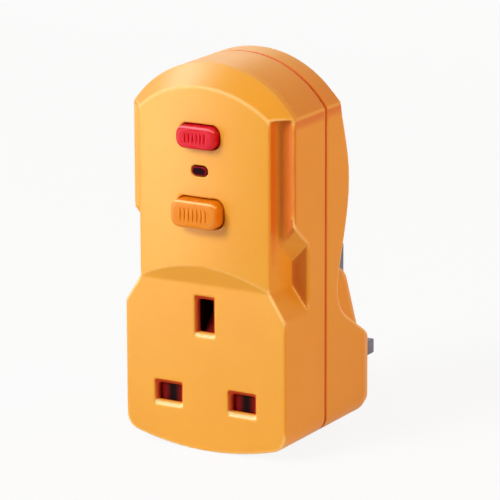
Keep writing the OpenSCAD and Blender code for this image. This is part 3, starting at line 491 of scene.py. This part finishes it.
spring_wire = 0.00025
quarter = math.pi / 2
turn_to_axis = ((0, quarter, 0), (-quarter, 0, 0), (0, 0, 0))
for node, axis, joint, turns in (
        ("test_spring", 1, "test_press", 5.0), ("reset_spring", 1, "reset_press", 5.0),
        ("shutter_spring", 2, "shutter_slide", 7.0), ("plunger_spring", 0, "plunger_pull", 4.0)):
    low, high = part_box(node)
    middle = (low + high) / 2
    length = high[axis] - low[axis]
    widths = [high[k] - low[k] for k in range(3) if k != axis]
    foot = middle.copy()
    foot[axis] = low[axis] + spring_wire
    piece = grown(winding, node + "_wound", {
        "Radius": sum(widths) / 4 - spring_wire, "Length": length - 2 * spring_wire, "Turns": turns,
        "Wire": spring_wire, "Place": tuple(foot), "Turn": turn_to_axis[axis], "Finish": finishes["steel"]})
    fit(piece, "case", node)
    # A button's spring bears on the frame behind it, and the other two on their low ends.
    seat = middle.copy()
    seat[axis] = high[axis] if axis == 1 else low[axis]
    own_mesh(piece)


# Front cover: the front shell in the same amber plastic, with the socket face, the bowed panel,
# its hood and the two finger notches. Its apertures are bevelled, and bosses inside take the screws.

# Zones of the front cover, as limits of side, depth and height, and the painted light and shade tones that
# they take.
half_panel, panel_side, ledge_d = 19.4, 19, 4.8
ledge_depths, ledge_heights = (1, 6), (38, 75.8)
ledge_reach, ledge_tones = (0, 2.4), (-0.22, -0.68)
ledge_fade_heights, ledge_fade = (40, 48), (0.3, 1)
lit_side_share = 0.15
ridge_full, ridge_gain = 0.12, 1.5
notch_depths, notch_heights = (6, 13), (24, 46)
notch_inner, notch_fillet, notch_outer = 18.6, 19.9, 23.4
notch_back_side, notch_back_d, notch_back_slope, notch_back_shade = 21.67, 11.8, 0.215, -0.5
ramp_sides, ramp_depths, ramp_heights = (19.6, 23.7), (4.3, 8), (40.5, 50)
shoulder_depth, shoulder_heights = 0.6, (28, 38)
hood_depth, hood_foot_z = 3, 77
hood_edge_depth, hood_edge_z, hood_edge_share = 3.5, 75, 0.45
face_d, wall_d = 0.14, 4
apertures = ((pole_x, 0, 3.5, 2.3), (0, earth_z, 2.3, 4.4))
aperture_lips = ((pole_x, 0, 5.2, 4.4), (0, earth_z, 4, 6.4))
panel_holes = ((0, 70.6, 7, 4.2), (0, 50.6, 8, 5), (0, 61.5, 3.4, 2.4))
# Painted shade inside the apertures and a painted highlight on their sills.
bevel_w, bevel_h = 0.95, 1.35
mouth_shade, shade_per_mm, top_margin = 0.45, 0.9, 0.1
sill_margin, sill_depths, sill_highlights = 0.05, (0.6, 1.1), (0.66, -0.1)
lip_highlight = 0.12
front_rim_d, seam_lip_d, front_groove_d = 19.5, 20.75, 21.25


def blended(side, depth, z):
    """Where the ledge runs softly into a finger notch."""
    return within(side, *ramp_sides) & within(depth, *ramp_depths) & within(z, *ramp_heights)


def front_rounds(points):
    """Rounds of easing on the front cover: most where a ledge meets a notch, few at holes and apertures."""
    side, depth, z = placed(points)
    rounds = np.full(len(points), 6.0)
    rounds[(z > hood_foot_z) & (depth > hood_depth)] = 10
    rounds[(side < panel_side) & (depth < shoulder_depth) & within(z, *shoulder_heights)] = 3.5
    rounds[blended(side, depth, z)] = 24
    rounds[depth > front_rim_d] = 3
    rounds[over(side, z, aperture_lips) & (depth < wall_d) | over(side, z, panel_holes)] = 2
    return rounds


def shade_apertures(points, edge):
    """Painted shade, deep red, inside the apertures, deepest under their tops, and a painted highlight on
    the sills.
    """
    side, depth, z = placed(points)
    for centre, height, half_w, half_h in apertures:
        mouth = (centre, height, half_w + bevel_w, half_h + bevel_h)
        inside = over(side, z, [mouth]) & within(depth, face_d, wall_d)
        edge[inside] = -np.clip(mouth_shade + shade_per_mm * depth[inside], 0, 1)
        edge[inside & (z > height + half_h - top_margin)] = -1
        sill = inside & (z < height - half_h - sill_margin)
        edge[sill] = np.interp(depth[sill], sill_depths, sill_highlights)


def shade_notches(points, edge):
    """A painted highlight on the fillets at the mouths of the finger notches, painted shade on their
    deep backs, and plain ramps up to the ledges.
    """
    side, depth, z = placed(points)
    notch = (side > notch_inner) & within(depth, *notch_depths) & within(z, *notch_heights)
    edge[notch] = np.abs(edge[notch]) * (side[notch] > notch_fillet)
    back_d = notch_back_d + notch_back_slope * (side - notch_back_side)
    edge[notch & (depth > back_d) & (side < notch_outer)] = notch_back_shade
    edge[blended(side, depth, z) & (edge > 0)] = 0


def shade_ledges(points, edge):
    """Painted shade in the corner beside the panel, strong on the live side away from the key lamp,
    with a painted highlight kept and strengthened on its ridges.
    """
    side, depth, z = placed(points)
    corner = (side > panel_side) & within(depth, *ledge_depths) & within(z, *ledge_heights)
    inner = np.hypot(side[corner] - half_panel, depth[corner] - ledge_d)
    ridge_highlight = np.clip(edge[corner], 0, 1)
    tone = np.interp(inner, ledge_reach, ledge_tones) * np.interp(z[corner], ledge_fade_heights, ledge_fade)
    # The side that the key lamp lights keeps little of this painted shade.
    tone[points[corner, 0] < 0] *= lit_side_share
    edge[corner] = tone * (1 - np.clip(ridge_highlight / ridge_full, 0, 1)) + ridge_gain * ridge_highlight


def front_shade(points, edge):
    """Painted light and shade of the apertures, notches, hood and ledges, a faint painted highlight on the
    lip, and painted shade in the groove at the parting line.
    """
    side, depth, z = placed(points)
    shade_apertures(points, edge)
    shade_notches(points, edge)
    # Less painted highlight along the outer edge of the hood.
    edge[(z > hood_edge_z) & (depth > hood_edge_depth) & (edge > 0)] *= hood_edge_share
    shade_ledges(points, edge)
    shade_hood(points, edge)
    edge[(depth > seam_lip_d) & (side > panel_side)] = lip_highlight
    edge[depth > front_groove_d] = groove_shade
    return edge


front_cover = skin_of("front_cover", "front_cover_skin", shell_voxel, front_rounds, faces=190000,
                      shade=front_shade)
dress(front_cover, amber)
fit(front_cover, "case", "front_cover")


# Push buttons: glossy caps moulded in red and in orange, held behind the panel by a rim and
# guided by a stem. Short raised ribs on the caps give a finger some grip.

cap_front_d, cap_line_half, cap_line_drop = 1.6, 0.45, 1.2
cap_ridge_tone, cap_line_tone = 0.1, 0.52


def cap_rounds(points):
    """The same easing all over a cap or a lens."""
    return np.full(len(points), 7.0)


def cap_shade(points, edge):
    """A pale line along the upper front edge of a cap, where its gloss catches the light."""
    behind = points[:, 1] - points[:, 1].min()
    proud = behind < cap_front_d
    below = points[proud, 2].max() - points[:, 2]
    upper = proud & (np.abs(below - behind) < cap_line_half) & (below < cap_line_drop)
    edge = np.minimum(edge, cap_ridge_tone)
    edge[upper] = cap_line_tone
    return edge


def vector(tree, **parts):
    """The output of a Combine XYZ node."""
    return add(tree, "ShaderNodeCombineXYZ", parts).outputs["Vector"]


ribs, given = tree_of("cap_ribs", "GeometryNodeTree", {
    "Count": "Int", "Pitch": "Float", "Height": "Float", "Width": "Float", "Rise": "Float",
    "Place": "Vector", "Finish": "Material"}, {"Geometry": "Geometry"})
row_w = maths(ribs, "MULTIPLY", maths(ribs, "SUBTRACT", given["Count"], 1), given["Pitch"])
first = add(ribs, "ShaderNodeVectorMath", {
    0: vector(ribs, X=maths(ribs, "MULTIPLY", row_w, -0.5)), 1: given["Place"]}, operation="ADD")
row = add(ribs, "GeometryNodeMeshLine", {
    "Count": given["Count"], "Start Location": first.outputs["Vector"],
    "Offset": vector(ribs, X=given["Pitch"])})
rod = add(ribs, "GeometryNodeMeshUVSphere", {"Segments": 16, "Rings": 10, "Radius": 1})
laid = add(ribs, "GeometryNodeInstanceOnPoints", {
    "Points": row.outputs["Mesh"], "Instance": rod.outputs["Mesh"],
    "Scale": vector(ribs, X=given["Width"], Y=given["Rise"], Z=given["Height"])})
end_tree(ribs, laid.outputs["Instances"], given["Finish"])

glossy = {"gloss": 0.24, "spread": 0.05, "bump": 0.02, "scatter": 0.05}
# The caps' ridge colours are a painted highlight, strongest along the upper front edge, and their crease
# colours painted shade.
cap_red = plastic("cap_red", (214, 14, 38), (196, 10, 30), ridge_highlight=(248, 128, 142), crease_shade=(150, 8, 24),
                  shine=0.06, **glossy)
cap_orange = plastic("cap_orange", (226, 131, 18), (218, 111, 12), ridge_highlight=(255, 212, 140),
                     crease_shade=(206, 72, 18), shine=0.09, **glossy)
rib_rise, rib_share, rib_sink = 0.0003, 0.26, 0.00002
for node, body, material, count, pitch, height in (
        ("test_button", "test", cap_red, 6, 0.00115, 0.0014),
        ("reset_button", "reset", cap_orange, 7, 0.00125, 0.0018)):
    cap = skin_of(node, node + "_cap", voxel=0.00014, rounds=cap_rounds, faces=40000, shade=cap_shade)
    dress(cap, material)
    fit(cap, body, node)
    low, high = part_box(node)
    grip = grown(ribs, node + "_ribs", {
        "Count": count, "Pitch": pitch, "Height": height, "Width": pitch * rib_share, "Rise": rib_rise,
        "Place": (0, low.y + rib_sink, (low.z + high.z) / 2), "Finish": material})
    fit(grip, body)


# Indicator lens: a small window, moulded in dark red tinted plastic and polished on its face.
# It is pressed into the panel from inside and held by its rim.

lens = skin_of("indicator_lens", "indicator_lens_window", voxel=0.0001, rounds=cap_rounds, faces=20000)
# The lens's ridge colour, red, is a painted highlight along its rim.
dress(lens, plastic("lens_red", (30, 5, 14), (20, 3, 10), ridge_highlight=(206, 40, 52), gloss=0.22, spread=0.03,
                    bump=0.0, shine=0.008))
fit(lens, "case", "indicator_lens")


# Screws: zinc-plated steel with a pan head and a cross recess, driven into bosses of the covers.
# Four close the case from the back, and smaller ones hold the frame, the carrier and the board.
# One screw is cut in millimetres, and copies of it at a thousandth of that stand on their seats.

driven, given = tree_of("pan_screws", "GeometryNodeTree", {
    "Geometry": "Geometry", "Head": "Float", "Head Height": "Float", "Shank": "Float", "Length": "Float",
    "Turn": "Rotation", "Finish": "Material"}, {"Geometry": "Geometry"})
head, head_h, length = given["Head"], given["Head Height"], given["Length"]


def times(value, factor, plus=0.0):
    """A size of the screw, times a factor, plus a length."""
    return maths(driven, "MULTIPLY_ADD", value, factor, plus)


def raised(form, height, boolean):
    """Lifts a form along the screw and hands it to a boolean."""
    moved = add(driven, "GeometryNodeTransform", {
        "Geometry": form.outputs["Mesh"], "Translation": vector(driven, Z=height)})
    driven.links.new(moved.outputs["Geometry"], boolean.inputs["Mesh 2"])


overlap = 0.3
rim_share, crown_share = 0.6, 0.4
recess_long, recess_wide = 0.56, 0.15
rim_h = times(head_h, rim_share)
rim = add(driven, "GeometryNodeMeshCylinder", {"Vertices": 32, "Radius": times(head, 0.5), "Depth": rim_h})
crown = add(driven, "GeometryNodeMeshCone", {
    "Vertices": 32, "Radius Bottom": times(head, 0.49), "Radius Top": times(head, 0.34),
    "Depth": times(head_h, crown_share, overlap)})
shank = add(driven, "GeometryNodeMeshCylinder", {
    "Vertices": 20, "Radius": times(given["Shank"], 0.5), "Depth": times(length, 1.0, overlap)})
solid = add(driven, "GeometryNodeMeshBoolean", operation="UNION")
raised(rim, times(rim_h, 0.5), solid)
raised(crown, times(rim_h, 1.0, -overlap), solid)
raised(shank, times(length, -0.5, overlap / 2), solid)
recessed = add(driven, "GeometryNodeMeshBoolean", {"Mesh 1": solid.outputs["Mesh"]}, operation="DIFFERENCE")
for long_side, short_side, deep in (("X", "Y", 1.1), ("Y", "X", 1.0)):
    bar_size = {long_side: times(head, recess_long), short_side: times(head, recess_wide),
                "Z": times(head_h, deep)}
    bar = add(driven, "GeometryNodeMeshCube", {"Size": vector(driven, **bar_size)})
    raised(bar, head_h, recessed)
stood = add(driven, "GeometryNodeInstanceOnPoints", {
    "Points": given["Geometry"], "Instance": recessed.outputs["Mesh"], "Rotation": given["Turn"],
    "Scale": [1 / mm_per_m] * 3})
end_tree(driven, stood.outputs["Instances"], given["Finish"], smooth=False)

hands = (-1, 1)
rearward, forward = -quarter, quarter
small = {"Head": 3.8, "Head Height": 1.2, "Shank": 2.0}
for node, turn, sizes, seats in (
        ("case_screws", rearward, {"Head": 4.8, "Head Height": 2.0, "Shank": 2.9, "Length": 16.0},
         [(hand * x, d, z) for x, d, z in ((18.8, 26.3, -6.23), (13, 23.8, 79.03)) for hand in hands]),
        ("frame_screws", rearward, {**small, "Length": 5.4},
         [(hand * 13.4, 11, z) for z in (46.2, 73.6) for hand in hands]),
        ("carrier_screws", rearward, {**small, "Length": 5.4}, [(hand * 18.4, 7, 14) for hand in hands]),
        ("board_screws", forward, {**small, "Length": 4.2},
         [(0, 24, 35.5), (14.5, 24, 71.5), (-14.5, 24, 71.5)])):
    points = bpy.data.meshes.new(node + "_seats")
    points.from_pydata([Vector((x, socket_y + d, z)) / mm_per_m for x, d, z in seats], [], [])
    piece = grown(driven, node + "_driven", {
        **sizes, "Turn": (turn, 0, 0), "Finish": finishes["steel"]}, points)
    fit(piece, "case", node)


# Floor, light and camera: a pale table top, a broad soft key from the upper left in front, weaker
# lamps from the left, above and behind, a warm one from the right, and three that only give sheen.
# The camera is a long lens at the photograph's angle.

def seen(tree):
    """1 for rays from the camera, off a mirror or through glass, and 0 for rays that carry light."""
    rays = add(tree, "ShaderNodeLightPath").outputs
    shown = maths(tree, "MAXIMUM", rays["Is Camera Ray"], rays["Is Glossy Ray"])
    return maths(tree, "MAXIMUM", shown, rays["Is Transmission Ray"])


floor_half = 6
floor_gap = 0.00002
floor_glow = 0.9
shown_sky, lit_sky = 1.0, 0.2
floor_mesh = bpy.data.meshes.new("floor")
floor_mesh.from_pydata([(x * floor_half, y * floor_half, cad_box[0][2] - floor_gap)
                        for x, y in ((-1, -1), (1, -1), (1, 1), (-1, 1))], [], [(0, 1, 2, 3)])
floor = put("floor", floor_mesh)
pale = bpy.data.materials.new("pale_floor")
pale.use_nodes = True
tree = pale.node_tree
tree.nodes.remove(tree.nodes["Principled BSDF"])
matt = add(tree, "ShaderNodeBsdfDiffuse", {"Color": (0.75, 0.75, 0.75, 1)})
white = add(tree, "ShaderNodeEmission")
glow = maths(tree, "MULTIPLY", seen(tree), floor_glow)
surface = add(tree, "ShaderNodeMixShader", {
    "Fac": glow, 1: matt.outputs["BSDF"], 2: white.outputs["Emission"]})
tree.links.new(surface.outputs["Shader"], tree.nodes["Material Output"].inputs["Surface"])
dress(floor, pale)

world = bpy.data.worlds.new("studio")
bpy.context.scene.world = world
world.use_nodes = True
tree = world.node_tree
sky = tree.nodes["Background"].inputs
sky["Color"].default_value = (1, 1, 1, 1)
strength = maths(tree, "MULTIPLY_ADD", seen(tree), shown_sky - lit_sky, lit_sky)
tree.links.new(strength, sky["Strength"])


def soft_lamp(name, place, target, size, power, colour=(1, 1, 1), hidden_from=()):
    """A round lamp, aimed at a point, and hidden from some kinds of ray."""
    lamp = bpy.data.lights.new(name, "AREA")
    lamp.color = colour
    lamp.shape = "DISK"
    lamp.size = size
    lamp.energy = power
    thing = put(name, lamp)
    thing.location = place
    thing.rotation_euler = (Vector(target) - Vector(place)).to_track_quat("-Z", "Y").to_euler()
    for ray in hidden_from:
        setattr(thing, "visible_" + ray, False)


body_middle = (0, -0.03, 0.04)
warm = (1, 0.55, 0.14)
soft_lamp("key", (-0.42, -1.0, 0.76), body_middle, size=0.5, power=12.7)
soft_lamp("left", (-0.94, -0.75, 0.16), body_middle, size=0.7, power=0.9)
soft_lamp("top", (-0.55, -0.28, 0.98), body_middle, size=0.6, power=1.0)
soft_lamp("right", (1.05, 0.08, 0.35), body_middle, size=0.6, power=6.2, colour=warm)
soft_lamp("back", (-0.3, 1.0, 0.12), body_middle, size=0.6, power=4.8, hidden_from=["glossy"])
for name, place, target, size, power in (
        ("panel_sheen", (-0.19, -0.25, 0.03), (-0.01, -0.05, 0.05), 0.16, 1.0),
        ("arch_sheen", (-0.27, -0.01, 0.37), (0, -0.04, 0.08), 0.26, 1.9),
        ("hood_sheen", (-0.2, 0.22, 0.28), (0, -0.03, 0.08), 0.22, 0.31)):
    soft_lamp(name, place, target, size, power, hidden_from=["diffuse", "camera"])

frame_pixels, focal_pixels = 500, 3755.538
eye_back, eye_right, eye_up = 0.978502, 0.011745, 0.03888
yaw, pitch, roll = (math.radians(angle) for angle in (30.171, 14.605, -0.194))
back = Vector((math.sin(yaw) * math.cos(pitch), -math.cos(yaw) * math.cos(pitch), math.sin(pitch)))
level = Vector((math.cos(yaw), math.sin(yaw), 0))
steep = back.cross(level)
right = math.cos(roll) * level + math.sin(roll) * steep
up = -math.sin(roll) * level + math.cos(roll) * steep
eye = back * eye_back + right * eye_right + up * eye_up + Vector((0, socket_y / mm_per_m, 0))
view = bpy.data.cameras.new("camera")
view.sensor_width = 36
view.lens = focal_pixels / frame_pixels * view.sensor_width
view.clip_start = 0.05
camera = put("camera", view)
camera.matrix_world = Matrix.Translation(eye) @ Matrix((right, up, back)).transposed().to_4x4()
bpy.context.scene.camera = camera
bpy.context.scene.view_settings.view_transform = "Standard"
